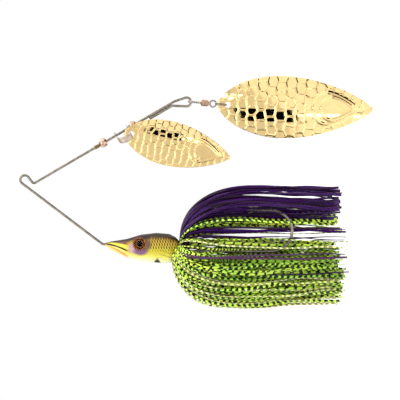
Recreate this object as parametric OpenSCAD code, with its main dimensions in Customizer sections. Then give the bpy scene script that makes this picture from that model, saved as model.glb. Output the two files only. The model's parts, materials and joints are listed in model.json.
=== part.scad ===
// Spinnerbait, hanging from its line tie.
// The origin is the centre of the line-tie bend. Z points up, the lure hangs down along -Z, the wire lies in the
// XZ plane with the blades on the +X side and the head and hook on the -X side. The blades bulge towards -Y.

/* [Wire frame] */
// Diameter of the frame wire
wire_d = 1.0; // [0.8:0.05:1.2]
// Centreline radius of the line-tie bend
tie_r = 1.77; // [1.5:0.05:2.2]
// Angle between the lower arm and the vertical
lower_arm_angle = 37.1; // [35:0.5:39]
// Angle between the upper arm and the vertical
upper_arm_angle = 30.3; // [29:0.5:32]
// Distance along the upper arm from the corner to the neck of the end loop
upper_arm_len = 65.2; // [64:0.1:66]
// Centreline radius of the round end of the loop
loop_r = 1.75; // [1.6:0.05:1.9]
// Length of the tag that lies back along the arm
tag_len = 10.5; // [6:0.1:11]

/* [Beads and clevis] */
// Diameter of each bead
bead_d = 3.8; // [3:0.1:4]
// Distance along the arm to the front bead
front_bead_at = 32.4; // [32:0.1:33]
// Distance along the arm to the rear bead
rear_bead_at = 46.1; // [46:0.1:47]
// Distance along the arm to the front face of the clevis
clevis_from = 38; // [37.8:0.1:38.2]
// Length of the clevis along the arm
clevis_len = 6; // [5.8:0.1:6.1]
// Reach of the clevis out from the wire
clevis_reach = 5.9; // [5.8:0.05:6.1]
// Width of the clevis strap
strap_w = 2.8; // [2.4:0.1:3]

/* [Blades] */
// Length of the large blade
large_len = 62; // [58:0.5:64]
// Width of the large blade
large_w = 24.8; // [22:0.2:26]
// Length of the small blade
small_len = 43; // [40:0.5:45]
// Width of the small blade
small_w = 17.6; // [16:0.2:18]
// Thickness of both blades' sheet
sheet = 0.5; // [0.4:0.05:0.6]

/* [Swivel and ring] */
// Outer diameter of the swivel's barrel
barrel_d = 2.6; // [2.4:0.1:3]
// Length of the swivel's barrel
barrel_len = 3.3; // [3:0.1:3.4]
// Wire diameter of the eyes and the split ring
eye_wire = 0.7; // [0.6:0.05:0.75]

/* [Head] */
// Diameter of each stick-on eye
eye_d = 5; // [4:0.1:5.2]
// Depth of the socket each eye sits in
socket_depth = 0.6; // [0.4:0.1:0.8]

/* [Hook] */
// Diameter of the hook's wire
hook_d = 1.25; // [1:0.05:1.4]
// Centreline radius of the hook's bend
hook_r = 8.16; // [7.5:0.1:8.5]
// Length of the leg that ends in the point
point_leg = 11.6; // [10:0.1:12]

/* [Skirt] */
// Length of the skirt from collar to tips
skirt_len = 66; // [60:1:68]
// Radius of the skirt at its widest
skirt_r = 25; // [24:0.5:25.5]
// Thickness of each layer of strands
layer = 3; // [2.6:0.1:3.2]

/* [Hidden] */

$fn = 48;
wire_r = wire_d / 2;
eye_wire_r = eye_wire / 2;
running_gap = 0.06;   // radial clearance of each bore on its wire or pin
eps = 0.01;
seam = 0.04;

// Points and directions in the plane of the wire are written [x, z].
function unit(v) = v / norm(v);
function turned(v, a) = [v.x * cos(a) - v.y * sin(a), v.x * sin(a) + v.y * cos(a)];
function left_of(v) = [-v.y, v.x];
function angle_of(v) = atan2(v.y, v.x);
function corner_turn(p, i) = let (a = unit(p[i] - p[i - 1]), b = unit(p[i + 1] - p[i]))
    atan2(a.x * b.y - a.y * b.x, a.x * b.x + a.y * b.y);
function corner_trim(p, radii, i) =
    i == 0 || i == len(p) - 1 ? 0 : radii[i] * tan(abs(corner_turn(p, i)) / 2);
// The point where a line from p touches a circle round c, on its left (side 1) or right (side -1).
function touch_point(p, c, r, side) = let (d = c - p)
    p + sqrt(d * d - r * r) * turned(unit(d), side * asin(r / norm(d)));

lower_dir = [-sin(lower_arm_angle), -cos(lower_arm_angle)];
upper_dir = [sin(upper_arm_angle), -cos(upper_arm_angle)];
lower_start = -tie_r * left_of(lower_dir);
tie_turn = 195;       // angle the line-tie bend turns through
short_dir = turned(lower_dir, 180 - tie_turn);
short_start = tie_r * left_of(short_dir);
short_len = 3.4;
corner = short_start + short_len * short_dir;
loop_neck = corner + upper_arm_len * upper_dir;
loop_reach = 4.9;
loop_centre = loop_neck + loop_reach * [-sin(2), -cos(2)];
tag_gap = 1.03;       // spacing of the tag's centreline from the arm's
tag_side = -left_of(upper_dir);
tag_near = loop_neck - 1.6 * upper_dir + tag_gap * tag_side;
tag_end = tag_near - tag_len * upper_dir;
loop_upper = touch_point(loop_neck, loop_centre, loop_r, 1);
loop_lower = touch_point(tag_near, loop_centre, loop_r, -1);
head_entry = lower_start + 40.3 * lower_dir;
wire_in_head = head_entry + [-1.6, -11];

// The chain of swivel, ring and large blade hangs from the bottom of the loop, leaning a little towards -X.
chain_lean = 4.6;
chain_top = loop_centre - [0, loop_r];
eye_hole = 1.1;       // inner radius of the swivel's front eye
rear_hole = 0.9;      // inner radius of its rear eye
ring_hole = 2.0;      // inner radius of the split ring
blade_hole_r = 1.2;
pin_r = 0.4;          // radius of the swivel's two pins
link_gap = 0.12;      // slack where one link hangs in the next
front_eye_z = -(eye_hole - wire_r - link_gap);
barrel_top = -3.95;
barrel_bottom = barrel_top - barrel_len;
rear_eye_z = barrel_bottom - 0.05 - rear_hole - eye_wire;
ring_pivot_z = rear_eye_z - rear_hole - eye_wire_r;
ring_z = ring_pivot_z - (ring_hole - eye_wire_r - link_gap);
blade_pivot_z = ring_z - ring_hole - eye_wire_r;

// The clevis stands out from the arm at this angle from -Y towards the inside of the frame.
clevis_angle = 36;
strap_t = 0.5;
leg_w = 1.3;
ear_r = 1.5;
small_hole_out = 4.6; // distance of the small blade's hole from the arm
small_lean = 13.5;
large_lean = 1.9;
hole_from_tip = 0.0613; // share of a blade's length between its ring end and its hole
bulge = 1.05;         // radius of a blade's cross curve as a share of its width

head_x = -27.2;
collar_z = -62.1;
shank_x = -28.7;
bend_z = -98.8;
hook_start_z = -52;
eye_x = -25.5;
eye_z = -46.1;
eye_face = 4.35;      // distance of the eyes' faces from the middle plane
iris_t = 0.3;
skirt_x = -26.9;
layer_gap = 1;        // room between the outer and the inner layer
keeper_r = 2.45;      // radius of the barb behind the head that the skirt's collar grips

module in_plane() { rotate([90, 0, 0]) children(); }

// A straight length of wire. It stops a hair short at each end, where a sleeve of the next bend takes over.
module rod(p, q, r) {
    d = q - p;
    translate([p.x, p.y, 0]) rotate([0, 0, angle_of(d)]) rotate([0, 90, 0])
        translate([0, 0, seam]) cylinder(r = r, h = norm(d) - 2 * seam);
}

module sleeve(bend_r, r) translate([bend_r, 0, 0]) rotate([90, 0, 0])
    cylinder(r = r + 0.02, h = 5 * seam, center = true);

module bend(c, bend_r, from, sweep, r) {
    start = sweep < 0 ? from + sweep : from;
    translate([c.x, c.y, 0]) rotate([0, 0, start]) {
        rotate_extrude(angle = abs(sweep)) translate([bend_r, 0]) circle(r = r);
        sleeve(bend_r, r);
        rotate([0, 0, abs(sweep)]) sleeve(bend_r, r);
    }
}

// A wire of radius r along the points p, rounded at each inner point to the radius given in radii.
module wire_path(p, radii, r) {
    for (i = [0 : len(p) - 2]) {
        d = unit(p[i + 1] - p[i]);
        rod(p[i] + corner_trim(p, radii, i) * d, p[i + 1] - corner_trim(p, radii, i + 1) * d, r);
    }
    for (i = [1 : 1 : len(p) - 2]) {
        turn = corner_turn(p, i);
        d = unit(p[i] - p[i - 1]);
        side = sign(turn) * left_of(d);
        bend(p[i] - corner_trim(p, radii, i) * d + radii[i] * side, radii[i], angle_of(-side), turn, r);
    }
}

// The upper arm's own frame: z runs along the arm from the corner, x points to the inside of the frame.
module on_arm(s) {
    translate([corner.x, 0, corner.y]) rotate([0, 180 - upper_arm_angle, 0]) translate([0, 0, s]) children();
}

module on_chain(z) {
    translate([chain_top.x, 0, chain_top.y]) rotate([0, chain_lean, 0]) translate([0, 0, z]) children();
}

module wire_frame() color("silver") in_plane() {
    wire_path([lower_start, head_entry, wire_in_head], [0, 3, 0], wire_r);
    bend([0, 0], tie_r, angle_of(short_start), tie_turn, wire_r);
    wire_path([short_start, corner, loop_neck, loop_upper], [0, 0.95, 3, 0], wire_r);
    from = angle_of(loop_upper - loop_centre);
    bend(loop_centre, loop_r, from, -((from - angle_of(loop_lower - loop_centre) + 360) % 360), wire_r);
    wire_path([loop_lower, tag_near, tag_end], [0, 0.9, 0], wire_r);
}

module bead_stop() color("tan") on_arm(front_bead_at - bead_d / 2 - 2.1) difference() {
    cylinder(r = wire_r + 0.25, h = 2);
    translate([0, 0, -eps]) cylinder(r = wire_r, h = 2 + 2 * eps);
}

module bead(s) on_arm(s) difference() {
    sphere(d = bead_d);
    cylinder(r = wire_r + running_gap, h = bead_d + 1, center = true);
}

module front_bead() color("gainsboro") bead(front_bead_at);

module rear_bead() color("gainsboro") bead(rear_bead_at);

module clevis_side(z) translate([0, 0, z]) {
    difference() {
        union() {
            cylinder(r = ear_r, h = strap_t);
            translate([-leg_w / 2, -clevis_reach, 0]) cube([leg_w, clevis_reach, strap_t]);
        }
        translate([0, 0, -eps]) cylinder(r = wire_r + running_gap, h = strap_t + 2 * eps);
    }
}

module clevis() color("silver") on_arm(clevis_from) rotate([0, 0, clevis_angle]) {
    clevis_side(0);
    clevis_side(clevis_len - strap_t);
    translate([-leg_w / 2, -clevis_reach - strap_t, 0]) cube([leg_w, strap_t, clevis_len]);
    translate([-strap_w / 2, -clevis_reach - strap_t, 0.8]) cube([strap_w, strap_t, clevis_len - 2.8]);
}

// Half the width of a willow-leaf blade at a share t of its length, as a share of its full half width.
function leaf(t) = pow(sin(180 * pow(t, 0.8)), 0.7);

// A blade hanging from its hole, bulging towards -Y, with the hole's middle at drop below the origin.
module blade(length, width, drop) {
    steps = 28;
    hole_at = hole_from_tip * length;
    cross_r = bulge * width;
    edge = [for (i = [1 : steps - 1]) let (t = (1 - cos(180 * i / steps)) / 2) [leaf(t) * width / 2, -t * length]];
    outline = concat([[0, 0]], edge, [[0, -length]], [for (i = [steps - 2 : -1 : 0]) [-edge[i].x, edge[i].y]]);
    translate([0, 0, -drop]) difference() {
        intersection() {
            translate([0, width / 2, hole_at]) rotate([90, 0, 0]) linear_extrude(width) polygon(outline);
            translate([0, cross_r, -length]) difference() {
                cylinder(r = cross_r + sheet / 2, h = 2 * length, $fn = 96);
                translate([0, 0, -1]) cylinder(r = cross_r - sheet / 2, h = 2 * length + 2, $fn = 96);
            }
        }
        rotate([90, 0, 0]) cylinder(r = blade_hole_r, h = 4, center = true);
    }
}

module small_blade() color("gold") on_arm(clevis_from + clevis_len - strap_t / 2)
    rotate([0, 0, clevis_angle]) translate([0, -small_hole_out, 0]) rotate([0, 0, -clevis_angle])
    rotate([0, upper_arm_angle - 180 + small_lean, 0]) blade(small_len, small_w, 0.15);

module large_blade() color("gold") on_chain(blade_pivot_z) rotate([0, large_lean - chain_lean, 0])
    blade(large_len, large_w, blade_hole_r - eye_wire_r - link_gap);

// A ring whose axis is X.
module upright_ring(r) rotate([0, 90, 0]) rotate_extrude() translate([r + eye_wire_r, 0]) circle(r = eye_wire_r);

module pin_and_head(from, head_z) {
    head_t = 0.5;
    translate([0, 0, min(from, head_z)]) cylinder(r = pin_r, h = abs(from - head_z));
    translate([0, 0, head_z - head_t / 2]) cylinder(r = 2 * pin_r, h = head_t);
}

module swivel_front_eye() color("silver") on_chain(0) {
    translate([0, 0, front_eye_z]) upright_ring(eye_hole);
    pin_and_head(front_eye_z - eye_hole - eye_wire_r, barrel_top - 1.0);
}

module swivel_rear_eye() color("silver") on_chain(0) {
    translate([0, 0, rear_eye_z]) rotate([0, 0, 90]) upright_ring(rear_hole);
    pin_and_head(rear_eye_z + rear_hole + eye_wire_r, barrel_bottom + 1.0);
}

module swivel_barrel() color("silver") on_chain(barrel_bottom) {
    r = barrel_d / 2;
    wall = 0.35;
    end_wall = 0.6;
    shoulder = 0.5;
    difference() {
        rotate_extrude() polygon([
            [0, 0], [r - shoulder, 0], [r, shoulder], [r, barrel_len - shoulder],
            [r - shoulder, barrel_len], [0, barrel_len]
        ]);
        translate([0, 0, end_wall]) cylinder(r = r - wall, h = barrel_len - 2 * end_wall);
        translate([0, 0, -1]) cylinder(r = pin_r + running_gap, h = barrel_len + 2);
    }
}

module split_ring() color("silver") on_chain(ring_z) upright_ring(ring_hole);

// Stations of the head from snout to rear: distance down, top, bottom and half thickness.
head_stations = [
    [-31.9, -25.3, -26.2, 0.45], [-34.2, -24.7, -28.0, 1.7], [-40.9, -23.6, -31.2, 3.2],
    [-46.5, -21.9, -32.4, 4.3], [-52.7, -21.2, -33.2, 5.0], [-57.9, -21.6, -33.4, 4.9],
    [-60.4, -22.9, -31.6, 4.0], [-61.8, -24.6, -29.5, 2.6]
];

module head_slice(s) translate([(s[1] + s[2]) / 2, 0, s[0]])
    scale([(s[1] - s[2]) / 2, s[3], 1]) cylinder(r = 1, h = 0.02, $fn = 32);

module lead_head() color("olivedrab") difference() {
    union() {
        for (i = [0 : len(head_stations) - 2]) hull() {
            head_slice(head_stations[i]);
            head_slice(head_stations[i + 1]);
        }
        translate([skirt_x, 0, collar_z - 3.4]) cylinder(r = keeper_r, h = 4);
        translate([skirt_x, 0, collar_z - 3.9]) cylinder(r = keeper_r + 0.4, h = 0.6);
    }
    for (side = [-1, 1]) translate([eye_x, side * (eye_face - socket_depth), eye_z])
        rotate([side * -90, 0, 0]) cylinder(r = eye_d / 2 + 0.05, h = 3);
}

module eye_iris(side) translate([eye_x, side * (eye_face - socket_depth + 0.02), eye_z])
    rotate([side * -90, 0, 0]) cylinder(r = eye_d / 2, h = iris_t);

// A shallow dome cut from a sphere, standing on the iris.
module eye_lens(side) {
    rise = 0.75;
    dome_r = (eye_d * eye_d / 4 + rise * rise) / (2 * rise);
    translate([eye_x, side * (eye_face - socket_depth + iris_t + 0.04), eye_z]) rotate([side * -90, 0, 0])
        intersection() {
            translate([0, 0, rise - dome_r]) sphere(r = dome_r, $fn = 96);
            cylinder(r = eye_d / 2 - 0.02, h = 2);
        }
}

module eye_iris_near() color("peru") eye_iris(-1);

module eye_iris_far() color("peru") eye_iris(1);

module eye_lens_near() color("black") eye_lens(-1);

module eye_lens_far() color("black") eye_lens(1);

module hook() color("dimgray") in_plane() {
    r = hook_d / 2;
    point_x = shank_x + 2 * hook_r;
    taper = 3.6;
    tip_r = 0.08;
    barb_len = 2.2;
    barb_r = 0.35;
    barb_tip_r = 0.1;
    barb_in = 0.4;
    barb_back = 0.6;
    barb_lean = 16;
    rod([shank_x, hook_start_z], [shank_x, bend_z], r);
    bend([shank_x + hook_r, bend_z], hook_r, 180, 180, r);
    rod([point_x, bend_z], [point_x, bend_z + point_leg - taper], r);
    translate([point_x, bend_z + point_leg - taper, 0]) rotate([-90, 0, 0])
        cylinder(r1 = r, r2 = tip_r, h = taper);
    // The barb is a short spur on the inner side of the point.
    translate([point_x - barb_in, bend_z + point_leg - taper - barb_back, 0]) rotate([-90, 0, barb_lean])
        cylinder(r1 = barb_r, r2 = barb_tip_r, h = barb_len);
}

module skirt_collar() color("indigo") translate([skirt_x, 0, collar_z - 3]) difference() {
    cylinder(r = keeper_r + 0.9, h = 2.6);
    translate([0, 0, -eps]) cylinder(r = keeper_r + 0.05, h = 3);
}

// A layer of strands: they leave the collar sideways, curl back and hang as a flared bell.
// inset moves the layer inwards from the skirt's outside, and drop cuts its tips short.
module bell(inset, drop) {
    r = skirt_r - inset;
    top = collar_z + 2.3 - inset;
    inner = r - layer;
    tip_z = collar_z - skirt_len + drop;
    polygon([
        [7.6, top], [r * 0.5, top - 0.8], [r * 0.66, top - 3.4], [r * 0.78, top - 6.2], [r * 0.88, top - 10.5],
        [r * 0.95, top - 16.5], [r, top - 27], [r * 0.985, top - 40], [r * 0.93, tip_z],
        [inner * 0.93, tip_z], [inner * 0.98, top - 40], [inner, top - 28], [inner * 0.95, top - 18],
        [inner * 0.86, top - 12.5], [inner * 0.74, top - 8.6], [inner * 0.6, top - 6], [inner * 0.45, top - 4],
        [7.6, top - layer]
    ]);
}

// Where the outer layer's strands leave the collar, drawn out to the top of the bell.
module roots() polygon([
    [3.5, collar_z - 0.3], [7.7, collar_z + 2.3], [7.7, collar_z - 0.7], [3.5, collar_z - 2.4]
]);

// The part of a layer between two angles, counted from +X towards +Y.
module strands(from, sweep, inset = 0, drop = 0) translate([skirt_x, 0, 0]) rotate([0, 0, from])
    rotate_extrude(angle = sweep, $fn = 72) {
        bell(inset, drop);
        if (inset == 0) roots();
    }

module skirt_purple_top() color("indigo") strands(-50, 100);

module skirt_chartreuse_near() color("yellowgreen") strands(-139, 88);

module skirt_chartreuse_far() color("yellowgreen") strands(51, 88);

module skirt_chartreuse_belly() color("yellowgreen") strands(140, 80);

module skirt_dark_strands() color("midnightblue") strands(-128, 60, layer + layer_gap, 4);

module skirt_clear_strands() color("lavender") strands(150, 60, layer + layer_gap, 2);

wire_frame();
bead_stop();
front_bead();
clevis();
rear_bead();
small_blade();
swivel_front_eye();
swivel_barrel();
swivel_rear_eye();
split_ring();
large_blade();
lead_head();
hook();
eye_iris_near();
eye_iris_far();
eye_lens_near();
eye_lens_far();
skirt_collar();
skirt_purple_top();
skirt_chartreuse_near();
skirt_chartreuse_far();
skirt_chartreuse_belly();
skirt_dark_strands();
skirt_clear_strands();
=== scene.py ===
"""Visual model of a spinnerbait that hangs from its line tie.

The lure's wire lies in the XZ plane, Z points up, the blades are on the +X side and bulge towards -Y.
"""

import json
import math
import random

import bmesh
import bpy
from mathutils import Matrix, Vector


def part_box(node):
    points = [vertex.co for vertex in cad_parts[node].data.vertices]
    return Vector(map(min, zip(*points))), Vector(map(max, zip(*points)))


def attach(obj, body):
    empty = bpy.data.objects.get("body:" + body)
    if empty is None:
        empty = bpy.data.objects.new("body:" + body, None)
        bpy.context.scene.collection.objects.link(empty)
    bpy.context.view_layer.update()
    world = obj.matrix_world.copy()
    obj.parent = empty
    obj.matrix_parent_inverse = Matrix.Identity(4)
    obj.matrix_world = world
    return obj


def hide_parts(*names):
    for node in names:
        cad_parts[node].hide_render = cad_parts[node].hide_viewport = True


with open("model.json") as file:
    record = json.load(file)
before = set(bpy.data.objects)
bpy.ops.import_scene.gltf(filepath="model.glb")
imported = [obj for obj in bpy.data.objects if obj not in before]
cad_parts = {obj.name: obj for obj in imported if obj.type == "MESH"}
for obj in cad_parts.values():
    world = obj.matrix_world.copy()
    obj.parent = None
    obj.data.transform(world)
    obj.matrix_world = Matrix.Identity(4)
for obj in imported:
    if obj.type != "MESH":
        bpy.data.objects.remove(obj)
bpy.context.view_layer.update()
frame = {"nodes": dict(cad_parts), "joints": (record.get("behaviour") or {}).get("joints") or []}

MM = 0.001
JOINTS = {j["name"]: j for j in frame["joints"]}
scene = bpy.context.scene


# ---------------------------------------------------------------- shader helpers

class Shader:
    """A node material, or a world, being built. Its methods link sockets and set plain numbers directly."""

    def __init__(self, name, data=None):
        self.material = data or bpy.data.materials.new(name)
        self.material.use_nodes = True
        self.tree = self.material.node_tree
        self.bsdf = self.tree.nodes.get("Principled BSDF") or self.tree.nodes["Background"]

    def node(self, kind, **settings):
        made = self.tree.nodes.new("ShaderNode" + kind)
        for key, value in settings.items():
            setattr(made, key, value)
        return made

    def put(self, socket, value):
        if isinstance(value, bpy.types.NodeSocket):
            self.tree.links.new(value, socket)
        else:
            socket.default_value = value

    def set(self, **values):
        for key, value in values.items():
            self.put(self.bsdf.inputs[key.replace("_", " ")], value)

    def math(self, operation, *values):
        made = self.node("Math", operation=operation)
        for socket, value in zip(made.inputs, values):
            self.put(socket, value)
        return made.outputs[0]

    def product(self, *values):
        total = values[0]
        for value in values[1:]:
            total = self.math("MULTIPLY", total, value)
        return total

    def split(self, vector):
        made = self.node("SeparateXYZ")
        self.put(made.inputs[0], vector)
        return made.outputs[0], made.outputs[1], made.outputs[2]

    def position(self):
        """Object coordinates in millimetres, as three sockets."""
        scaled = self.node("VectorMath", operation="SCALE")
        self.put(scaled.inputs[0], self.node("TexCoord").outputs["Object"])
        scaled.inputs["Scale"].default_value = 1 / MM
        return self.split(scaled.outputs[0])

    def ramp(self, value, low, high, to_low=0.0, to_high=1.0):
        made = self.node("MapRange", clamp=True)
        for socket, v in zip(made.inputs, (value, low, high, to_low, to_high)):
            self.put(socket, v)
        return made.outputs[0]

    def band(self, value, low, high, soft):
        """1 between low and high, falling to 0 over soft on either side."""
        up = self.ramp(value, low - soft, low)
        down = self.ramp(value, high, high + soft, 1.0, 0.0)
        return self.math("MULTIPLY", up, down)

    def mix(self, factor, a, b):
        made = self.node("Mix", data_type="RGBA")
        self.put(made.inputs[0], factor)
        self.put(made.inputs[6], a)
        self.put(made.inputs[7], b)
        return made.outputs[2]

    def noise(self, scale, detail=3.0, rough=0.5):
        """Noise in object space, at scale features a metre."""
        made = self.node("TexNoise")
        self.put(made.inputs["Vector"], self.node("TexCoord").outputs["Object"])
        made.inputs["Scale"].default_value = scale
        made.inputs["Detail"].default_value = detail
        made.inputs["Roughness"].default_value = rough
        return made.outputs[0]

    def pick(self, value):
        """A random share for each whole value."""
        made = self.node("TexWhiteNoise", noise_dimensions="1D")
        self.put(made.inputs["W"], value)
        return made.outputs[0]

    def bump(self, height, distance, strength=1.0):
        made = self.node("Bump")
        self.put(made.inputs["Height"], height)
        made.inputs["Distance"].default_value = distance
        made.inputs["Strength"].default_value = strength
        self.put(self.bsdf.inputs["Normal"], made.outputs[0])


def linear(value):
    """Linear share of a 0-255 display value, by the sRGB curve."""
    share = value / 255
    return share / 12.92 if share <= 0.04045 else ((share + 0.055) / 1.055) ** 2.4


def rgba(r, g, b):
    """Linear colour from 0-255 display values."""
    return linear(r), linear(g), linear(b), 1.0


HAZE = 0.18     # how much rougher a metal gets where it was handled most


def metal(name, colour, tint, rough):
    """Bare or plated metal. Tone and roughness vary with handling, and the bump has fine drawing marks."""
    s = Shader(name)
    s.set(Metallic=1.0, Base_Color=s.mix(s.ramp(s.noise(900.0, 4.0), 0.35, 0.7), colour, tint))
    s.set(Roughness=s.ramp(s.noise(2600.0, 5.0, 0.6), 0.3, 0.75, rough, rough + HAZE))
    s.bump(s.noise(5200.0, 4.0), 0.00003, 0.5)
    return s.material


# ---------------------------------------------------------------- mesh helpers

def link(name, mesh):
    obj = bpy.data.objects.new(name, mesh)
    scene.collection.objects.link(obj)
    return obj


def smooth(obj):
    obj.data.polygons.foreach_set("use_smooth", [True] * len(obj.data.polygons))
    return obj


def add_mesh(name, verts, faces, material, uvs=None):
    """A smooth object from lists. uvs has one pair for each vertex."""
    mesh = bpy.data.meshes.new(name)
    mesh.from_pydata(verts, [], faces)
    if uvs:
        layer = mesh.uv_layers.new(name="along")
        for loop in mesh.loops:
            layer.data[loop.index].uv = uvs[loop.vertex_index]
    mesh.materials.append(material)
    mesh.update()
    return smooth(link(name, mesh))


def apply_modifiers(obj):
    depsgraph = bpy.context.evaluated_depsgraph_get()
    done = bpy.data.meshes.new_from_object(obj.evaluated_get(depsgraph))
    obj.modifiers.clear()
    obj.data = done


def finish_piece(obj, body, slot, *nodes):
    """Puts a piece on its body, in place of the named CAD nodes."""
    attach(obj, body)
    if nodes:
        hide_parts(*nodes)


def dress(material, *nodes):
    """Gives CAD nodes that are kept as they are their material."""
    for name in nodes:
        for s in frame["nodes"][name].material_slots:
            s.material = material


def smoothstep(t):
    t = min(1.0, max(0.0, t))
    return t * t * (3 - 2 * t)


def sweep(path, sections, closed=False):
    """Verts and faces of a solid with one section, a list of offsets, at each point of a path.
    The faces point outward where the sections run clockwise seen along the path."""
    sides = len(sections[0])
    verts = [p + offset for p, section in zip(path, sections) for offset in section]
    count = len(path)
    faces = []
    for k in range(count if closed else count - 1):
        a, b = k * sides, (k + 1) % count * sides
        faces += [(a + m, a + (m + 1) % sides, b + (m + 1) % sides, b + m) for m in range(sides)]
    if not closed:
        faces += [tuple(reversed(range(sides))), tuple(range((count - 1) * sides, count * sides))]
    return verts, faces


# ---------------------------------------------------------------- metals and small parts

NICKEL = metal("polished_nickel", rgba(176, 164, 152), rgba(128, 114, 102), 0.12)
BARREL = metal("barrel_nickel", rgba(190, 160, 138), rgba(156, 120, 98), 0.2)
WIRE = metal("drawn_stainless", rgba(150, 142, 128), rgba(106, 98, 86), 0.26)
CLEVIS = metal("clevis_nickel", rgba(186, 172, 156), rgba(150, 134, 118), 0.1)
BEAD = metal("bead_nickel", rgba(206, 184, 166), rgba(176, 138, 114), 0.14)
SOLDER = metal("stop_solder", rgba(150, 124, 78), rgba(104, 82, 50), 0.42)
HOOK = metal("bronzed_hook", rgba(150, 142, 130), rgba(92, 84, 74), 0.22)

dress(WIRE, "wire_frame")
dress(NICKEL, "swivel_front_eye", "swivel_rear_eye")
dress(BARREL, "swivel_barrel")
dress(BEAD, "front_bead", "rear_bead")
dress(SOLDER, "bead_stop")
dress(HOOK, "hook")

RING_R = 2.35 * MM        # middle radius of the split ring
COIL_R = 0.19 * MM        # radius of its wire
COIL_TURNS = 2
COIL_START = 0.35         # where the coil starts, in turns before the place straight to the side
RING_OVER = 0.4 * MM      # how far the top of the ring's middle line is above its pivot
STEP_FROM = 0.44          # share of the coil at which one turn starts to step over to the other's place
STEP_OVER = 0.12          # share of the coil that the step takes


def make_split_ring():
    """Two turns of wire lying side by side, whose ends step over each other."""
    pivot = Vector(JOINTS["ring_swing"]["pos_m"])
    axis = Vector(JOINTS["ring_swing"]["axis"]).normalized()
    down = (Vector(JOINTS["large_blade_swing"]["pos_m"]) - pivot).normalized()
    across = axis.cross(down)
    middle = pivot + down * (RING_R - RING_OVER)
    steps, sides = 96, 8
    path, sections = [], []
    for k in range(steps + 1):
        t = k / steps
        turn = math.tau * (COIL_TURNS * t - COIL_START)
        out = across * math.cos(turn) + down * math.sin(turn)
        stepped = smoothstep((t - STEP_FROM) / STEP_OVER) - 0.5
        path.append(middle + out * RING_R + axis * COIL_R * 2 * stepped)
        angles = [math.tau * m / sides for m in range(sides)]
        sections.append([(out * math.cos(a) + axis * math.sin(a)) * COIL_R for a in angles])
    verts, faces = sweep(path, sections)
    finish_piece(add_mesh("split_ring_coil", verts, faces, NICKEL), "split_ring", "nickel", "split_ring")


make_split_ring()

STRAP_T = 0.45 * MM
STRAP_W = 2.9 * MM
NECK_W = 1.3 * MM         # width of the strap beside its ears
NECK_TO = 1.6 * MM        # distance from the wire at which it starts to widen
WIDEN_OVER = 2.4 * MM     # length over which it widens
FLAT, BEVEL = 0.94, 0.5   # shares of the strap's half width and half thickness that stay flat
CLEVIS_LEN = 6 * MM
CLEVIS_OUT = 6.1 * MM     # distance of the band's middle from the wire
CLEVIS_TURN = math.radians(36)
FRONT_BEND, REAR_BEND = 3.0 * MM, 1.0 * MM
FOOT = 0.9 * MM           # distance from the wire at which the strap runs into its ear
EAR_R = 1.5 * MM
EAR_FACE = 0.95           # share of the ear's radius inside its rounded edge
EAR_EDGE = 0.6            # share of its half thickness inside that edge
BORE_R = 0.56 * MM
FLAT_TO = 0.7             # share of the clevis's length at which the flat part of its band ends
REAR_FALL = 2.0 * MM      # how far below the band its rear side begins to run straight to the ear
BEND_STEPS, EAR_STEPS = 8, 40


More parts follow.
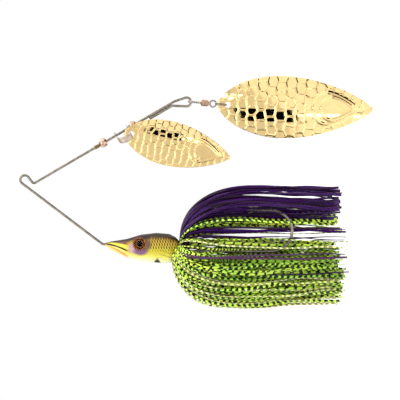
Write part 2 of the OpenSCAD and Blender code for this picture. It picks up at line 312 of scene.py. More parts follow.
def make_clevis():
    """A stamped strap folded over the wire, rounded at the front, with a drilled ear at each end."""
    along = Vector(JOINTS["clevis_spin"]["axis"]).normalized()
    inward = Vector((along.z, 0, -along.x))
    out = inward * math.sin(CLEVIS_TURN) + Vector((0, -1, 0)) * math.cos(CLEVIS_TURN)
    side = along.cross(out)
    middle = Vector(JOINTS["clevis_spin"]["pos_m"])
    reach = max((v.co - middle).dot(along) for v in frame["nodes"]["clevis"].data.vertices)
    start = middle + along * (reach - CLEVIS_LEN)
    front, rear = FRONT_BEND, REAR_BEND
    edge = STRAP_T / 2
    bend = [math.pi / 2 * k / BEND_STEPS for k in range(BEND_STEPS + 1)]
    # The strap's middle line, as places along the wire and out from it.
    line = [(edge, FOOT), (edge, CLEVIS_OUT - front)]
    line += [(edge + front * (1 - math.cos(a)), CLEVIS_OUT - front + front * math.sin(a)) for a in bend[1:]]
    line.append((CLEVIS_LEN * FLAT_TO, CLEVIS_OUT))
    line += [(CLEVIS_LEN - edge - rear + rear * math.sin(a), CLEVIS_OUT - rear + rear * math.cos(a))
             for a in bend]
    line += [(CLEVIS_LEN - edge, CLEVIS_OUT - REAR_FALL), (CLEVIS_LEN - edge, FOOT)]
    path = [start + along * z + out * d for z, d in line]
    sections = []
    for k in range(len(path)):
        t = (path[min(k + 1, len(path) - 1)] - path[max(k - 1, 0)]).normalized()
        up = t.cross(side)
        share = smoothstep((line[k][1] - NECK_TO) / WIDEN_OVER)
        w = (NECK_W + (STRAP_W - NECK_W) * share) / 2
        shape = ((-w, -edge * BEVEL), (-w * FLAT, -edge), (w * FLAT, -edge), (w, -edge * BEVEL),
                 (w, edge * BEVEL), (w * FLAT, edge), (-w * FLAT, edge), (-w, edge * BEVEL))
        sections.append([side * a + up * b for a, b in shape])
    verts, faces = sweep(path, sections)
    for z in (edge, CLEVIS_LEN - edge):
        ring, cuts = [], []
        for k in range(EAR_STEPS):
            a = math.tau * k / EAR_STEPS
            r = side * math.cos(a) + out * math.sin(a)
            ring.append(start + along * z)
            cuts.append([r * BORE_R - along * edge, r * EAR_R * EAR_FACE - along * edge,
                         r * EAR_R - along * edge * EAR_EDGE, r * EAR_R + along * edge * EAR_EDGE,
                         r * EAR_R * EAR_FACE + along * edge, r * BORE_R + along * edge])
        more, joined = sweep(ring, cuts, closed=True)
        faces += [tuple(i + len(verts) for i in f) for f in joined]
        verts += more
    bm = bmesh.new()
    made = [bm.verts.new(v) for v in verts]
    for f in faces:
        bm.faces.new([made[i] for i in f])
    bmesh.ops.recalc_face_normals(bm, faces=bm.faces)
    mesh = bpy.data.meshes.new("clevis_strap")
    bm.to_mesh(mesh)
    bm.free()
    mesh.materials.append(CLEVIS)
    obj = smooth(link("clevis_strap", mesh))
    obj.data.set_sharp_from_angle(angle=math.radians(38))
    finish_piece(obj, "clevis", "nickel", "clevis")


make_clevis()


# ---------------------------------------------------------------- blades

SHEET = 0.5 * MM
BULGE = 1.05          # radius of a blade's cross curve as a share of its width
HOLE_SHARE = 0.0613   # distance of the hole from the ring end as a share of the length
HOLE_R = 1.2 * MM
PLAIN_R = 1.3 * HOLE_R    # the stamping starts this far from the hole's middle
CUT_R = 0.97 * HOLE_R     # inside this the sheet is cut away
DRAW_R = 1.6 * HOLE_R     # inside this its edge is drawn in
CELL = 0.0625         # pitch of the scales as a share of the length
OUTLINE = 0.17        # half width of the line between two scales as a share of the pitch
JITTER = 0.16         # how far a scale's middle strays, as a share of the pitch
COLUMNS, ROWS = range(-1, 18), range(-5, 6)   # scales along and across a blade, with some to spare
# The heights and widths of the stamping below are shares of the blade's length.
LINE_H = 0.0025       # height of the line between two scales
DISH = 0.0004         # fall of a scale from its middle, times the squared distance in pitches
TEAR_H, TEAR_W = 0.0056, 0.0082       # the outer teardrop near the tip
DROP_H, DROP_W = 0.0050, 0.0072       # the smaller one inside it
# Start and end of the two, as shares of the length, and their greatest half height as a share of the
# half width.
TEAR, DROP = (0.617, 0.905, 0.50), (0.668, 0.880, 0.37)
TEAR_BLUNT = 0.75     # lower is blunter
CLEAR_FROM, CLEAR_SOFT = 0.004, 0.012         # where the scales start outside the outer one
RIM_PLAIN = 0.06      # share of the half width over which the stamping fades out at the rim
BLADE_FIRST, BLADE_SPAN = 0.0012, 0.9976      # the sheet starts and ends just short of its two points


def leaf(t):
    """Half width of a willow-leaf blade at a share t of its length, as a share of its full half width."""
    return max(0.0, math.sin(math.pi * min(1.0, max(0.0, t)) ** 0.8)) ** 0.7


def scale_seeds():
    """Middles of the stamped scales in units of the pitch, in columns that are offset by half a scale."""
    rng = random.Random(5)
    seeds = {}
    for i in COLUMNS:
        for j in ROWS:
            shift = 0.5 * (i % 2)
            seeds[i, j] = (i + 0.5 + rng.uniform(-JITTER, JITTER), j + shift + rng.uniform(-JITTER, JITTER))
    return seeds


SEEDS = scale_seeds()


def scale_height(u, v):
    """1 on the line between two scales, falling to 0 inside, and the distance from the scale's middle."""
    i0, j0 = math.floor(u), math.floor(v)
    best, second = 9.0, 9.0
    for i in range(i0 - 1, i0 + 2):
        for j in range(j0 - 2, j0 + 3):
            if (i, j) in SEEDS:
                su, sv = SEEDS[i, j]
                d = (abs(u - su) ** 3 + abs(v - sv) ** 3) ** (1 / 3)
                if d < best:
                    best, second = d, best
                elif d < second:
                    second = d
    return max(0.0, 1 - ((second - best) / OUTLINE) ** 2) ** 2, best


def ridge(distance, width):
    return math.exp(-(distance / width) ** 2)


def teardrop(a, y, half, start, end, share):
    """Half height of a teardrop at a share a of the blade's length, and the distance of y from its line."""
    s = (a - start) / (end - start)
    if not 0 < s < 1:
        return 0.0, math.hypot(y, start - a if s <= 0 else a - end)
    high = math.sin(math.pi * s ** 0.55) ** TEAR_BLUNT * share * half
    return high, y - high


def blade_relief(a, x, half):
    """Height of the stamping at a share a of the length and x of the half width, in shares of the length."""
    y = abs(x) * half
    out_h, out_gap = teardrop(a, y, half, *TEAR)
    in_gap = teardrop(a, y, half, *DROP)[1]
    relief = TEAR_H * ridge(out_gap, TEAR_W) + DROP_H * ridge(in_gap, DROP_W)
    if not (out_h > 0 and y < out_h):
        outline, middle = scale_height(a / CELL, x * half / CELL)
        scales = LINE_H * outline - DISH * min(0.5, middle) ** 2
        relief += smoothstep((out_gap - CLEAR_FROM) / CLEAR_SOFT) * scales
    return relief * smoothstep((1 - abs(x)) / 0.05)


def make_blade(name, length, width, rows, cols, pivot, lean, drop, material):
    """One stamped sheet, given its thickness and hung with the middle of its hole drop below the pivot."""
    cross_r = BULGE * width
    hole_at = HOLE_SHARE * length
    half = width / 2 / length
    bm = bmesh.new()
    grid = []
    for r in range(rows + 1):
        a = BLADE_FIRST + r / rows * BLADE_SPAN
        w = leaf(a) * width / 2
        line = []
        for c in range(cols + 1):
            x = 2 * c / cols - 1
            px = x * w
            arc = math.asin(px / cross_r)
            down = a * length
            relief = blade_relief(a, px / (width / 2), half) * length * smoothstep((1 - abs(x)) / RIM_PLAIN)
            near_hole = math.hypot(px, down - hole_at)
            radius = cross_r + relief * smoothstep((near_hole - PLAIN_R) / HOLE_R)
            place = (radius * math.sin(arc), cross_r - radius * math.cos(arc), hole_at - down)
            line.append(bm.verts.new(place))
        grid.append(line)
    for r in range(rows):
        for c in range(cols):
            bm.faces.new((grid[r][c], grid[r][c + 1], grid[r + 1][c + 1], grid[r + 1][c]))
    # The hole: what lies inside it goes, and the ragged edge that is left is drawn onto its circle.
    inside = [v for v in bm.verts if math.hypot(v.co.x, v.co.z) < CUT_R]
    bmesh.ops.delete(bm, geom=inside, context="VERTS")
    for v in bm.verts:
        d = math.hypot(v.co.x, v.co.z)
        if v.is_boundary and d < DRAW_R:
            v.co.x *= HOLE_R / d
            v.co.z *= HOLE_R / d
    bmesh.ops.remove_doubles(bm, verts=bm.verts, dist=0.00001)
    bmesh.ops.recalc_face_normals(bm, faces=bm.faces)
    mesh = bpy.data.meshes.new(name)
    bm.to_mesh(mesh)
    bm.free()
    mesh.materials.append(material)
    obj = link(name, mesh)
    thick = obj.modifiers.new("sheet", "SOLIDIFY")
    thick.thickness = SHEET
    thick.offset = 0
    apply_modifiers(obj)
    smooth(obj)
    hang = Matrix.Translation((0, 0, -drop))
    obj.data.transform(Matrix.Translation(pivot) @ Matrix.Rotation(lean, 4, "Y") @ hang)
    return obj


def gold_material():
    """Mirror gold plate with faint polishing haze, slightly darker in patches."""
    s = Shader("gold_plate")
    s.set(Metallic=1.0)
    s.set(Base_Color=s.mix(s.ramp(s.noise(420.0), 0.3, 0.75), rgba(234, 205, 146), rgba(225, 193, 132)))
    s.set(Roughness=s.ramp(s.noise(1800.0, 4.0), 0.35, 0.8, 0.012, 0.05))
    s.bump(s.noise(1500.0, 4.0, 0.6), 0.00002, 0.15)
    return s.material


GOLD = gold_material()
SMALL_LEAN = math.radians(13.5)
LARGE_PIVOT = Vector(JOINTS["large_blade_swing"]["pos_m"])
SMALL_PIVOT = Vector(JOINTS["small_blade_swing"]["pos_m"])
large = make_blade("large_blade_stamped", length=62 * MM, width=24.8 * MM, rows=420, cols=180,
                   pivot=LARGE_PIVOT, lean=math.radians(1.9), drop=0.73 * MM, material=GOLD)
finish_piece(large, "large_blade", "gold_plate", "large_blade")
small = make_blade("small_blade_stamped", length=43 * MM, width=17.6 * MM, rows=320, cols=130,
                   pivot=SMALL_PIVOT, lean=SMALL_LEAN, drop=0.15 * MM, material=GOLD)
finish_piece(small, "small_blade", "gold_plate", "small_blade")


# ---------------------------------------------------------------- head and eyes

MOUTH_DEPTH = 0.3 * MM
MOUTH_WIDE = 0.3 * MM                  # half width of the mouth's groove
MOUTH_SOFT = 1.2                       # length over which it runs out, in millimetres
# Places along the head, in millimetres below the line tie.
MOUTH_FROM, MOUTH_TO = 31.8, 41.5      # start and corner of the mouth
SCALES_FROM, SCALES_TO = 49.0, 61.5    # the dark dashes on the flank
STREAKS_FROM = 53.0                    # the slanted streaks under them
NECK_FROM = 60.8                       # the dark end that the collar sits on
SCALE_HIGH, SCALE_LONG = 1.2, 1.05     # pitch of the dashes
KEEL_BEHIND = 7.0                      # the mark under the head, behind the eye
KEEL_LONG, KEEL_WIDE = 1.5, 3.8        # its half length and half width


SKIN_CELL = 0.26 * MM                  # voxel size of the smoothed head
SLICE = 0.5                            # length of the slices in which its height is measured, in millimetres


def mouth_share(down):
    """Height of the mouth line as a share of the head's height, down millimetres below the line tie."""
    return 0.74 - 0.38 * (down - MOUTH_FROM) / (MOUTH_TO - MOUTH_FROM)


def make_head(material):
    """The head smoothed from its simple form, with the mouth cut in. Its uv is (down, share of height)."""
    source = frame["nodes"]["lead_head"]
    obj = link("head_cast", source.data.copy())
    obj.data.transform(source.matrix_world)
    remesh = obj.modifiers.new("skin", "REMESH")
    remesh.mode = "VOXEL"
    remesh.voxel_size = SKIN_CELL
    soften = obj.modifiers.new("soften", "SMOOTH")
    soften.factor = 0.5
    soften.iterations = 7
    apply_modifiers(obj)
    mesh = obj.data
    spans = {}
    for v in mesh.vertices:
        key = round(-v.co.z / MM / SLICE)
        low, high = spans.get(key, (9.0, -9.0))
        spans[key] = (min(low, v.co.x), max(high, v.co.x))

    def share(co):
        """Share of the head's height at which a place lies, and that height."""
        place = -co.z / MM / SLICE
        k = math.floor(place)
        a, b = spans.get(k) or spans[k + 1], spans.get(k + 1) or spans[k]
        t = place - k
        low, high = a[0] + (b[0] - a[0]) * t, a[1] + (b[1] - a[1]) * t
        return (co.x - low) / max(high - low, 1e-6), high - low

    mesh.update()
    normals = [v.normal.copy() for v in mesh.vertices]
    shares = [share(v.co) for v in mesh.vertices]
    for v, n, (s, height) in zip(mesh.vertices, normals, shares):
        down = -v.co.z / MM
        ends = smoothstep((down - MOUTH_FROM) / MOUTH_SOFT) * smoothstep((MOUTH_TO + 0.4 - down) / MOUTH_SOFT)
        gap = (s - mouth_share(down)) * height
        v.co -= n * (MOUTH_DEPTH * ends * ridge(gap, MOUTH_WIDE))
    layer = mesh.uv_layers.new(name="paint")
    for loop in mesh.loops:
        v = mesh.vertices[loop.vertex_index]
        layer.data[loop.index].uv = (-v.co.z / MM, shares[loop.vertex_index][0])
    mesh.materials.clear()
    mesh.materials.append(material)
    smooth(obj)
    finish_piece(obj, "frame", "head_paint", "lead_head")


def head_material():
    """Sprayed fish colours under a clear coat: dark back, scaled gold flank, pale belly, cream lower jaw.
    down is in millimetres below the line tie, share and h are shares of the head's height there."""
    s = Shader("head_paint")
    down, share, _ = s.split(s.node("UVMap", uv_map="paint").outputs[0])
    x, y, _ = s.position()
    soft = s.math("MULTIPLY", s.math("SUBTRACT", s.noise(500.0), 0.5), 0.09)
    h = s.math("ADD", share, soft)
    body = s.mix(s.ramp(h, 0.02, 0.2), rgba(222, 216, 176), rgba(212, 206, 100))
    body = s.mix(s.ramp(h, 0.14, 0.34), body, rgba(174, 162, 44))
    body = s.mix(s.ramp(h, 0.46, 0.7), body, rgba(160, 132, 42))
    body = s.mix(s.ramp(h, 0.74, 0.88), body, rgba(74, 52, 20))
    body = s.mix(s.ramp(h, 0.84, 0.95), body, rgba(20, 11, 12))
    scale_row = s.math("DIVIDE", x, SCALE_HIGH)
    slant = s.math("ADD", down, s.math("MULTIPLY", x, 0.2))
    offset = s.math("MULTIPLY", s.math("FLOOR", scale_row), 0.5)
    cell = s.math("FRACT", s.math("ADD", s.math("DIVIDE", slant, SCALE_LONG), offset))
    dash = s.product(s.band(cell, 0.4, 0.62, 0.2), s.band(s.math("FRACT", scale_row), 0.12, 0.88, 0.12),
                     s.ramp(down, SCALES_FROM, SCALES_FROM + 2.0),
                     s.ramp(down, SCALES_TO - 1.5, SCALES_TO, 1.0, 0.0), s.ramp(h, 0.36, 0.5))
    body = s.mix(dash, body, rgba(44, 24, 14))
    tilt = s.math("FRACT", s.math("ADD", s.math("MULTIPLY", x, 0.62), s.math("MULTIPLY", down, 0.2)))
    streak = s.product(s.band(tilt, 0.42, 0.54, 0.12), s.ramp(down, STREAKS_FROM, STREAKS_FROM + 2.5),
                       s.band(h, 0.16, 0.44, 0.06))
    body = s.mix(s.math("MULTIPLY", streak, 0.55), body, rgba(126, 84, 30))
    eye_x, eye_down = EYE.x / MM, -EYE.z / MM
    off = s.math("SUBTRACT", down, eye_down)
    rise = s.math("SUBTRACT", x, eye_x)

    def squared(value, middle, size):
        return s.math("POWER", s.math("DIVIDE", s.math("SUBTRACT", value, middle), size), 2.0)

    def spot(place, height, wide, tall):
        """A soft oval, at a place before or behind the eye and a height over it."""
        ratio = s.math("ADD", squared(off, place, wide), squared(rise, height, tall))
        return s.ramp(ratio, 0.35, 1.35, 1.0, 0.0)

    body = s.mix(s.math("MULTIPLY", spot(-2.8, -1.9, 2.1, 2.1), 0.6), body, rgba(158, 116, 160))
    body = s.mix(s.math("MULTIPLY", spot(0.4, -3.0, 3.0, 1.7), 0.9), body, rgba(96, 50, 112))
    body = s.mix(s.math("MULTIPLY", spot(2.6, -0.4, 2.2, 2.6), 0.85), body, rgba(66, 36, 46))
    keel = s.math("ADD", squared(off, KEEL_BEHIND, KEEL_LONG), squared(y, 0.0, KEEL_WIDE))
    keel = s.math("MULTIPLY", s.ramp(keel, 0.6, 1.1, 1.0, 0.0), s.ramp(rise, -5.4, -4.8, 1.0, 0.0))
    body = s.mix(keel, body, rgba(10, 9, 9))
    brow = s.product(s.band(off, -4.6, 3.6, 1.0), s.ramp(rise, 1.4, 2.4))
    body = s.mix(brow, body, rgba(40, 26, 28))
    line = s.ramp(down, MOUTH_FROM, MOUTH_TO, mouth_share(MOUTH_FROM), mouth_share(MOUTH_TO))
    above = s.math("SUBTRACT", share, line)
    upper = s.mix(s.ramp(above, 0.02, 0.12), rgba(110, 140, 20), rgba(206, 194, 62))
    ridge_line = s.ramp(down, 33.0, 41.0, 0.86, 0.62)
    upper = s.mix(s.ramp(s.math("SUBTRACT", share, ridge_line), 0.0, 0.1), upper, rgba(100, 62, 66))
    upper = s.mix(s.ramp(share, 0.82, 0.93), upper, rgba(46, 44, 20))
    lower = s.mix(s.band(above, -0.3, -0.22, 0.05), rgba(224, 194, 96), rgba(220, 132, 74))
    lower = s.mix(s.ramp(above, -0.43, -0.36, 1.0, 0.0), lower, rgba(230, 200, 134))
    jaw = s.mix(s.ramp(above, -0.02, 0.02), lower, upper)
    width = s.ramp(down, 32.0, 37.0, 0.16, 0.05)
    slit = s.ramp(s.math("DIVIDE", s.math("ABSOLUTE", above), width), 0.7, 1.4, 1.0, 0.0)
    jaw = s.mix(slit, jaw, rgba(26, 22, 16))
    base = s.mix(s.ramp(down, MOUTH_TO - 1.4, MOUTH_TO + 0.6), jaw, body)
    base = s.mix(s.ramp(down, NECK_FROM, NECK_FROM + 1.0), base, rgba(30, 20, 24))
    s.set(Base_Color=base, Roughness=s.ramp(s.noise(1200.0), 0.3, 0.7, 0.26, 0.42))
    s.set(Coat_Weight=0.12, Coat_Roughness=0.08, Specular_IOR_Level=0.18)
    s.bump(s.math("ADD", s.noise(1600.0), s.math("MULTIPLY", dash, -0.5)), 0.00006, 0.5)
    return s.material


iris_low, iris_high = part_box("eye_iris_near")
EYE = (iris_low + iris_high) / 2
EYE_R = (iris_high.x - iris_low.x) / 2


def iris_material():
    """Foil behind the lens: copper rim, dark ring with a gold band, black pupil. The gold band is partly the
    foil's own gold ring and partly a painted glint in place of the lens's reflections.
    """
    s = Shader("eye_foil")
    x, _, z = s.position()
    aside = s.math("POWER", s.math("SUBTRACT", x, EYE.x / MM), 2.0)
    along = s.math("POWER", s.math("SUBTRACT", z, EYE.z / MM), 2.0)
    r = s.math("SQRT", s.math("ADD", aside, along))
    base = s.mix(s.ramp(r, 1.0, 1.2), rgba(4, 3, 3), rgba(50, 24, 10))
    # Gold band: partly the foil's own gold, partly a painted glint standing in for the lens's reflections.
    base = s.mix(s.math("MULTIPLY", s.band(r, 1.3, 1.5, 0.12), 0.6), base, rgba(160, 104, 40))
    base = s.mix(s.ramp(r, 2.0, 2.2), base, rgba(160, 100, 60))
    s.set(Base_Color=base, Metallic=s.ramp(r, 1.1, 1.3, 0.0, 0.85), Specular_IOR_Level=0.05)
    s.set(Roughness=s.ramp(s.noise(3000.0), 0.3, 0.7, 0.25, 0.45))
    s.bump(s.noise(1200.0), 0.00003, 0.3)
    return s.material


def lens_material():
    """Clear plastic with a faint handled haze."""
    s = Shader("eye_lens")
    s.set(Base_Color=rgba(255, 250, 242), Transmission_Weight=1.0, IOR=1.12)
    s.set(Roughness=s.ramp(s.noise(1400.0), 0.3, 0.8, 0.02, 0.08))
    s.bump(s.noise(900.0), 0.00003, 0.3)
    return s.material


make_head(head_material())
dress(iris_material(), "eye_iris_near", "eye_iris_far")
dress(lens_material(), "eye_lens_near", "eye_lens_far")

COPPER = metal("eye_rim_copper", rgba(140, 92, 62), rgba(96, 60, 42), 0.22)
RIM_R = 0.19 * MM         # radius of the lip
RIM_OUT = 0.02 * MM       # how far its middle line lies outside the eye's edge


def make_eye_rim(name, low, high):
    """A rounded copper lip round the eye's edge."""
    face = low.y if low.y < 0 else high.y
    middle = Vector(((low.x + high.x) / 2, face, (low.z + high.z) / 2))
    steps, sides = 64, 10
    path, sections = [], []
    for k in range(steps):
        out = Vector((math.cos(math.tau * k / steps), 0, math.sin(math.tau * k / steps)))
        path.append(middle + out * (EYE_R + RIM_OUT))
        angles = [math.tau * m / sides for m in range(sides)]
        sections.append([(out * math.cos(a) + Vector((0, math.sin(a), 0))) * RIM_R for a in angles])
    verts, faces = sweep(path, sections, closed=True)
    finish_piece(add_mesh(name, verts, faces, COPPER), "frame", "iris")


make_eye_rim("eye_rim_near", *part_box("eye_iris_near"))
make_eye_rim("eye_rim_far", *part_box("eye_iris_far"))


# ---------------------------------------------------------------- skirt

collar_low, collar_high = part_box("skirt_collar")
SKIRT_X = (collar_low.x + collar_high.x) / 2
COLLAR_Z = collar_high.z
START_R = 3.0 * MM
SKIRT_R = 24.8 * MM
SQUARE = 2 / 2.5      # exponent of the curl's outline, between a circle and a square
TOP_FORE, BELLY_FORE = 0.5 * MM, 4.0 * MM      # how far a strand first runs forward of the collar
TOP_DEPTH, BELLY_DEPTH = 33 * MM, 26 * MM      # length over which it curls back
TOP_TIP, BELLY_TIP = 0.94, 0.87                # how far its tip has come in from the widest place
HOOK_LOW, HOOK_HIGH = -7.0 * MM, 2.6 * MM      # heights of the hook's bend from the skirt's axis
START_TURN = 0.22     # spread of the turn with which strands leave the collar, in radians
DRIFT = 0.9           # spread of a strand's drift to the side, in millimetres
RIPPLE = 0.4 * MM     # size of its small waves
LATE_FROM = 0.3       # share of a strand's steps after which it strays, or tucks in behind the hook
TUCK = 1.4 * MM       # how far behind the hook's middle the nearest tucked strand lies
TUCK_OVER = 0.3       # share of its steps over which it gets there
DISC_R = 24.4         # radius of the disc that the strands' widest places fill, in millimetres


def strand_path(ex, ey, tip, rng, loose=1.0, tuck=False):
    """Centreline of a strand whose widest place is (ex, ey) from the skirt's axis: out of the collar, over
    and back. tip is the depth of its end behind the collar. loose scales how much it strays.
    With tuck, a near strand beside the hook ends behind it."""
    rho = math.hypot(ex, ey)
    wide = min(1.0, rho / SKIRT_R)
    low = 0.5 - 0.5 * ex / max(rho, 1e-6)
    fore = (TOP_FORE + (BELLY_FORE - TOP_FORE) * low ** 2.5) * (0.15 + 0.85 * wide)
    depth = (TOP_DEPTH + (BELLY_DEPTH - TOP_DEPTH) * low) * (0.3 + 0.7 * wide)
    close = TOP_TIP + (BELLY_TIP - TOP_TIP) * low
    angle = math.atan2(ey, ex)
    start_turn = rng.gauss(0, START_TURN) * loose
    drift = Vector((rng.gauss(0, DRIFT), rng.gauss(0, DRIFT), 0)) * (loose * MM)
    wave = rng.uniform(0, math.tau)
    swell = rng.uniform(0.2, 1.0) * MM * loose
    curl, rest = 15, 13
    first = math.asin(min(1.0, (START_R * 1.1 / max(rho, START_R * 1.4)) ** (1 / SQUARE)))
    path = [Vector((SKIRT_X + math.cos(angle) * START_R, math.sin(angle) * START_R, COLLAR_Z - 1.4 * MM))]
    for k in range(curl + rest + 1):
        if k <= curl:
            a = first + (math.pi / 2 - first) * k / curl
            r = rho * math.sin(a) ** SQUARE
            down = -fore + depth * (1 - max(0.0, math.cos(a)) ** SQUARE)
            back = 0.0
        else:
            back = (k - curl) / rest
            r = rho * (1 - (1 - close) * smoothstep(back))
            down = -fore + depth + (tip + fore - depth) * back
        s = k / (curl + rest)
        turn = angle + start_turn * (1 - smoothstep(s * 1.6))
        late = smoothstep((s - LATE_FROM) / (1 - LATE_FROM))
        sway = Vector((math.sin(wave + s * 5.5), math.cos(wave * 1.7 + s * 4.5), 0)) * swell
        sway += Vector((math.cos(wave * 3 + s * 17), math.sin(wave * 2 + s * 15), 0)) * (RIPPLE * loose)
        place = Vector((SKIRT_X + r * math.cos(turn), r * math.sin(turn), COLLAR_Z - down))
        path.append(place + (drift + sway) * late)
        if tuck and ey < 0 and HOOK_LOW < ex < HOOK_HIGH:
            behind = TUCK + 0.15 * abs(ey) + 0.3 * sway.y
            path[-1].y += (behind - path[-1].y) * smoothstep((s - LATE_FROM) / TUCK_OVER)
    return path


def ribbon(path, width, thick, twist, verts, faces, uvs, lane):
    """A flat strand with rounded edges, swept along its path and added to verts, faces and uvs.
    Its uv is millimetres along it, and its lane plus how far across it."""
    sides = 6
    angles = [math.tau * m / sides for m in range(sides)]
    run = 0.0
    outward = Vector((path[1].x - SKIRT_X, path[1].y, 0)).normalized()
    sections = []
    for k, p in enumerate(path):
        t = (path[min(k + 1, len(path) - 1)] - path[max(k - 1, 0)]).normalized()
        if k:
            run += (p - path[k - 1]).length
        side = t.cross(outward).normalized()
        outward = side.cross(t).normalized()
        a = twist[0] + twist[1] * k / len(path)
        w = side * math.cos(a) + outward * math.sin(a)
        n = outward * math.cos(a) - side * math.sin(a)
        slim = 0.7 + 0.3 * min(1.0, k / 5)
        sections.append([w * (math.cos(b) * width / 2 * slim) + n * (math.sin(b) * thick / 2)
                         for b in angles])
        uvs += [(run / MM, lane + 0.2 * math.cos(b)) for b in angles]
    base = len(verts)
    more, joined = sweep(path, sections)
    verts += more
    # The section runs anticlockwise seen along the path, so its faces are reversed to point outward.
    faces += [tuple(i + base for i in reversed(f)) for f in joined]


STRAND_T = 0.42 * MM
COARSE_LANE, FINE_LANE = 0.75, 0.25    # fraction of the lane that tells the material which bars to print


def strand_group(name, ends, material, seed, slot, node, width=1.0, loose=1.0, coarse=0.0, tuck=False):
    """One piece holding a group of strands. ends lists (x, y, depth of the tip) from the axis in millimetres.
    A share of them, coarse, is a quarter wider and printed with coarse bars."""
    rng = random.Random(seed)
    verts, faces, uvs = [], [], []
    for lane, (ex, ey, tip) in enumerate(ends):
        path = strand_path(ex * MM, ey * MM, tip * MM, rng, loose, tuck)
        twist = (rng.uniform(-0.6, 0.6), rng.uniform(-6, 6) * loose)
        broad = rng.random() < coarse
        wide = width * rng.uniform(0.9, 1.1) * (1.25 if broad else 1.0)
        lane += COARSE_LANE if broad else FINE_LANE
        ribbon(path, wide * MM, STRAND_T, twist, verts, faces, uvs, lane)
    finish_piece(add_mesh(name, verts, faces, material, uvs=uvs), "frame", slot, node)


FINE_PITCH, COARSE_PITCH = 2.3, 3.5    # from one printed bar to the next, in millimetres
BAR_HALF, BAR_SOFT = 0.58, 0.08        # half length of a bar along its strand, and its soft edge
BAR_WOBBLE, BAR_LEAN = 1.1, 0.22       # how unevenly they lie and how much they slant, as shares of the pitch


def silicone(name, colour, deep, painted_shade=None, bars=0.0, rough=0.22, through=0.0, clear=0.0, shine=0.35):
    """Skirt silicone, each strand between colour and deep, with or without black bars printed across it.
    The third colour is painted shade: a darker green in loose patches and in the middle of the skirt's rear,
    where the inside of the bundle would lie in shadow."""
    s = Shader(name)
    run, lane, _ = s.split(s.node("UVMap", uv_map="along").outputs[0])
    own = s.pick(s.math("FLOOR", lane))
    base = s.mix(own, colour, deep)
    base = s.mix(s.ramp(s.noise(240.0), 0.4, 0.7, 0.0, 0.35), base, deep)
    if painted_shade:
        # Painted shade: a darker green in loose patches, standing in for the shadow deep inside the strand
        # bundle.
        base = s.mix(s.ramp(s.noise(75.0, 1.0), 0.5, 0.64, 0.0, 0.4), base, painted_shade)
        # inner is painted shadow: the strands darken towards their tips in the middle of the skirt's rear,
        # where the bundle's inside would be in shadow.
        x, _, _ = s.position()
        inner = s.math("MULTIPLY", s.ramp(run, 20.0, 38.0), s.band(x, -38.5, -28.0, 3.5))
        base = s.mix(s.math("MULTIPLY", inner, 0.55), base, painted_shade)
    if bars:
        coarse = s.math("GREATER_THAN", s.math("FRACT", lane), 0.5)
        across = s.math("FRACT", s.math("MULTIPLY", lane, 2.0))
        pitch = s.math("ADD", FINE_PITCH, s.math("MULTIPLY", coarse, COARSE_PITCH - FINE_PITCH))
        wobble = s.math("MULTIPLY", s.math("SUBTRACT", s.noise(900.0), 0.5), BAR_WOBBLE)
        lean = s.math("MULTIPLY", across, BAR_LEAN)
        shift = s.math("ADD", wobble, s.math("ADD", s.math("MULTIPLY", own, 7.0), lean))
        phase = s.math("FRACT", s.math("ADD", s.math("DIVIDE", run, pitch), shift))
        from_bar = s.math("MULTIPLY", s.math("ABSOLUTE", s.math("SUBTRACT", phase, 0.5)), pitch)
        printed = s.product(s.ramp(from_bar, BAR_HALF, BAR_HALF + BAR_SOFT, 1.0, 0.0),
                            s.ramp(across, 0.1, 0.16), bars)
        base = s.mix(printed, base, rgba(8, 13, 5))
    s.set(Base_Color=base, Roughness=s.ramp(s.noise(1500.0), 0.3, 0.7, rough, rough + 0.16))
    s.set(Subsurface_Weight=through, Subsurface_Scale=0.0012, Transmission_Weight=clear, IOR=1.41,
          Specular_IOR_Level=shine)
    s.bump(s.noise(2600.0), 0.00004, 0.4)
    return s.material


PURPLE = silicone("silicone_purple", rgba(62, 12, 98), rgba(26, 7, 28), rough=0.14, shine=0.22)
# The third colour given here is the painted shade for the skirt's rear.
CHARTREUSE = silicone("silicone_chartreuse", rgba(228, 246, 92), rgba(166, 218, 70), rgba(74, 138, 28),
                      bars=1.0, through=0.2)
DARK = silicone("silicone_dark", rgba(74, 40, 66), rgba(44, 24, 52))
CLEAR = silicone("silicone_clear", rgba(240, 242, 176), rgba(214, 222, 130),
                 bars=0.7, through=0.3, clear=0.25)
COLLAR = silicone("collar_rubber", rgba(34, 22, 40), rgba(26, 18, 32), rough=0.4)


MOST_TRIES = 60000


def disc_ends(count, seed, low, high, keep, reach=DISC_R, inner=6.0, tips=(59.0, 64.5), gap=0.75):
    """Strands spread over a slice of the skirt's disc, from low to high along X, at least gap apart.
    keep(x, y) is the share of places there that is used."""
    rng = random.Random(seed)
    ends = []
    for _ in range(MOST_TRIES):
        if len(ends) == count:
            break
        x, y = rng.uniform(low, high), rng.uniform(-reach, reach)
        rho = math.hypot(x, y)
        if not inner < rho < reach or rng.random() > keep(x, y):
            continue
        if all(math.hypot(x - e[0], y - e[1]) > gap for e in ends):
            ends.append((x, y, rng.uniform(*tips)))
    return ends


def shell(x, y):
    """Most strands lie in the outer part of the skirt."""
    return 0.25 + 0.75 * smoothstep((math.hypot(x, y) / DISC_R - 0.35) / 0.5)


def below_hook(x, y):
    """On the near side the lower strands stop short of the skirt's axis, where the hook shows."""
    return shell(x, y) * (0.04 if x > -1.5 and y < 0 else 1.0)


def behind_hook(x, y):
    """Between the axis and the hook's point the near side is left open, so the hook shows."""
    return shell(x, y) * (1.0 if x > 17.5 or y > 2 else 0.02)


# Single strands are (x, y, depth of the tip), as disc_ends gives them.
purple = disc_ends(62, 11, 9.5, DISC_R, behind_hook, tips=(60.0, 64.5))
purple += [(12.8, 3.0, 64.0), (6.6, 4.0, 66.0), (5.4, 7.0, 66.5), (4.4, -6.5, 65.5), (3.9, 6.0, 66.0)]
strand_group("purple_strands", purple, PURPLE, 21, "silicone_purple", "skirt_purple_top", width=1.15)

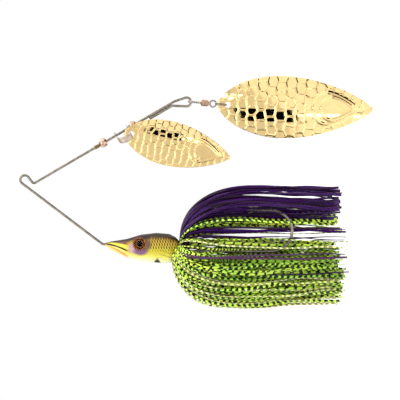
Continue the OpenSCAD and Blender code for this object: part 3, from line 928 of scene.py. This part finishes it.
bulk = disc_ends(235, 12, -24.0, 2.5, below_hook, gap=0.6)
upper = disc_ends(16, 13, 8.2, 14.5, behind_hook) + [(9.0, 5.0, 65.0), (3.0, -9.0, 66.0)]
BELLY_HALF = 7.0      # the belly group reaches this far to each side
chartreuse = {
    "near": [e for e in bulk if e[1] < -BELLY_HALF] + [e for e in upper if e[1] < 0],
    "far": [e for e in bulk if e[1] > BELLY_HALF] + [e for e in upper if e[1] >= 0],
    "belly": [e for e in bulk if abs(e[1]) <= BELLY_HALF],
}
for seed, (group, ends) in enumerate(chartreuse.items(), start=22):
    strand_group("chartreuse_strands_" + group, ends, CHARTREUSE, seed, "silicone_chartreuse",
                 "skirt_chartreuse_" + group, width=1.1, loose=1.25, coarse=0.3, tuck=True)

dark = [(-2.6, -24.6, 63.5), (-3.4, -23.6, 64.5), (-10.2, -19.0, 65.5), (7.6, 4.0, 64.0),
        (-6.0, 22.0, 64.0), (1.0, 23.5, 64.5), (-14.0, 19.0, 63.0), (-20.0, 10.0, 62.5)]
strand_group("dark_strands", dark, DARK, 25, "silicone_dark", "skirt_dark_strands", width=0.85, loose=0.4)

clear = disc_ends(24, 15, -24.6, -13.0, shell, reach=24.9, inner=19.0)
clear += [(0.6, -16.0, 63.0), (5.6, 12.0, 65.0)]
strand_group("clear_strands", clear, CLEAR, 26, "silicone_clear", "skirt_clear_strands", width=0.9)
dress(COLLAR, "skirt_collar")


# ---------------------------------------------------------------- camera, stage and light

scene.view_settings.view_transform = "Standard"

FRAME_W = 160 * MM    # width of the view at the wire's plane
VIEW = 0.6            # distance of the camera from the wire's plane
view_middle = Vector((-8.1 * MM, 0, -70.1 * MM))
camera_data = bpy.data.cameras.new("camera")
camera_data.sensor_width = 36
camera_data.lens = 36 * VIEW / FRAME_W
camera = link("camera", camera_data)
# The picture's right is -Z and its top is +X.
turn = Matrix(((0, 1, 0), (0, 0, -1), (-1, 0, 0)))
camera.matrix_world = Matrix.Translation(view_middle + Vector((0, -VIEW, 0))) @ turn.to_4x4()
scene.camera = camera


def stage_plane(name, size, place, spin, colour, hidden=False, glow=0.0):
    """The floor, or a card of the given size that only reflections see."""
    s = Shader(name)
    s.set(Base_Color=colour, Roughness=0.8, Specular_IOR_Level=0.0 if hidden else 0.3)
    s.set(Emission_Color=colour, Emission_Strength=glow)
    w, h = size[0] / 2, size[1] / 2
    obj = add_mesh(name, [(-w, -h, 0), (w, -h, 0), (w, h, 0), (-w, h, 0)], [(0, 1, 2, 3)], s.material)
    obj.matrix_world = Matrix.Translation(place) @ spin
    if hidden:
        obj.visible_camera = False
        obj.visible_shadow = False
        obj.visible_diffuse = False


def facing(tilt=0.0):
    """Turns a card in the XY plane to stand in the XZ plane, then tilts it about Y."""
    return Matrix.Rotation(tilt, 4, "Y") @ Matrix.Rotation(math.pi / 2, 4, "X")


FLOOR_Z = -0.26
NEAR = 0.2            # distance of the small blade's cards from the wire's plane
WHITE, BLACK = rgba(255, 255, 255), rgba(2, 2, 2)
BOX_GLOW = 2.6
stage_plane("floor", (6.0, 6.0), Vector((0, 0, FLOOR_Z)), Matrix(), rgba(250, 250, 250))
# The low cards are what the large blade reflects, the high ones what the small blade does.
stage_plane("dark_card_low", (0.26, 0.048), Vector((-0.115, -VIEW, -0.119)), facing(), BLACK, hidden=True)
stage_plane("dark_card_high", (0.078, 0.019), Vector((0.101, -NEAR, -0.069)), facing(SMALL_LEAN), BLACK,
            hidden=True)
stage_plane("dark_card_under", (0.4, 0.5), Vector((0.315, -0.15, -0.2)), Matrix(), rgba(20, 16, 8),
            hidden=True)
stage_plane("soft_box_low", (0.06, 0.055), Vector((-0.080, -VIEW, -0.172)), facing(), WHITE,
            hidden=True, glow=BOX_GLOW)
stage_plane("soft_box_high", (0.045, 0.013), Vector((0.098, -NEAR, -0.0855)), facing(SMALL_LEAN), WHITE,
            hidden=True, glow=BOX_GLOW)


def studio():
    """White paper for the camera. What the lure sees is bright before and behind it, and the belt between
    is darker, with patches that are brighter or darker still."""
    s = Shader("studio", bpy.data.worlds.new("studio"))
    x, y, z = s.split(s.node("TexCoord").outputs["Generated"])
    aside, ahead = s.math("ABSOLUTE", z), s.math("ABSOLUTE", y)
    level = s.ramp(ahead, 0.1, 0.5, 0.2, 1.0)
    ends = s.math("MULTIPLY", s.ramp(s.math("ABSOLUTE", x), 0.4, 0.85), s.ramp(ahead, 0.25, 0.45, 1.0, 0.0))
    low_sides = s.product(s.band(x, -0.45, 0.1, 0.2), s.ramp(aside, 0.25, 0.5),
                          s.ramp(y, -0.5, -0.3, 1.0, 0.0))
    left = s.product(s.ramp(z, 0.35, 0.55), s.ramp(y, -0.62, -0.5), s.ramp(x, 0.1, 0.3))
    high_side = s.product(s.ramp(x, 0.2, 0.4), s.ramp(z, -0.6, -0.35, 1.0, 0.0),
                          s.ramp(y, -0.2, 0.0, 1.0, 0.0))
    patches = s.math("MULTIPLY", s.math("MAXIMUM", ends, left), 1.6)
    level = s.math("ADD", level, s.math("ADD", patches, s.math("MULTIPLY", low_sides, 2.2)))
    level = s.math("MULTIPLY", level, s.ramp(high_side, 0.0, 1.0, 1.0, 0.25))
    seen = s.node("LightPath").outputs["Is Camera Ray"]
    unseen = s.math("MULTIPLY", level, s.math("SUBTRACT", 1.0, seen))
    s.set(Color=WHITE, Strength=s.math("MAXIMUM", seen, unseen))
    scene.world = s.material


studio()

key = bpy.data.lights.new("key", "AREA")
key.energy = 1.6      # watts
key.size = 0.25
key_obj = link("key", key)
key_obj.location = (0.28, -0.36, 0.1)      # above, before and left of the lure in the picture
key_obj.rotation_euler = (view_middle - key_obj.location).to_track_quat("-Z", "Y").to_euler()
key_obj.visible_glossy = False
